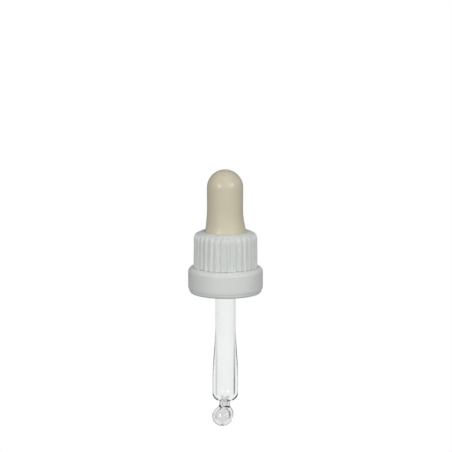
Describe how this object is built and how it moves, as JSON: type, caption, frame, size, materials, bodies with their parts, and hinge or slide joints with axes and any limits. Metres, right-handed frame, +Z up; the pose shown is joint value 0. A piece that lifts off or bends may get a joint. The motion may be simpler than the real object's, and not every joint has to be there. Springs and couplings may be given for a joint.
{
  "type": "medicine dropper",
  "caption": "Dropper closure with rubber bulb, ribbed screw cap, tear-off tamper band and glass pipette with ball tip, for a small threaded bottle neck.",
  "frame": {"origin": "on the common axis, at the face of the bulb's flange that seals on the bottle's lip", "axes": "+Z up along the common axis, from the pipette's tip to the bulb; X is the way the hand-worked ball tip leans, towards -X"},
  "size_m": [0.0246, 0.0246, 0.0862],
  "materials": {
    "cap_plastic": "white moulded polypropylene, satin, with a fine moulding texture",
    "bulb_rubber": "cream natural rubber, satin, with a thin bloom",
    "pipette_glass": "clear drawn glass, fire-polished ends"
  },
  "bodies": {
    "closure": {"cap_shell": "cap_plastic", "glass_pipette": "pipette_glass"},
    "bulb": {"rubber_bulb": "bulb_rubber"},
    "tear_ring": {"tamper_band": "cap_plastic", "break_bridges": "cap_plastic", "catch_flaps": "cap_plastic"}
  },
  "joints": [
    {"name": "bulb_squeeze", "type": "slide", "parent": "closure", "child": "bulb", "axis": [0, 0, -1], "range_m": [0, 0.005], "stiffness_N_per_m": 400, "deforming": ["rubber_bulb"]},
    {"name": "band_release", "type": "slide", "parent": "closure", "child": "tear_ring", "axis": [0, 0, -1], "range_m": [0, 0.056]}
  ]
}
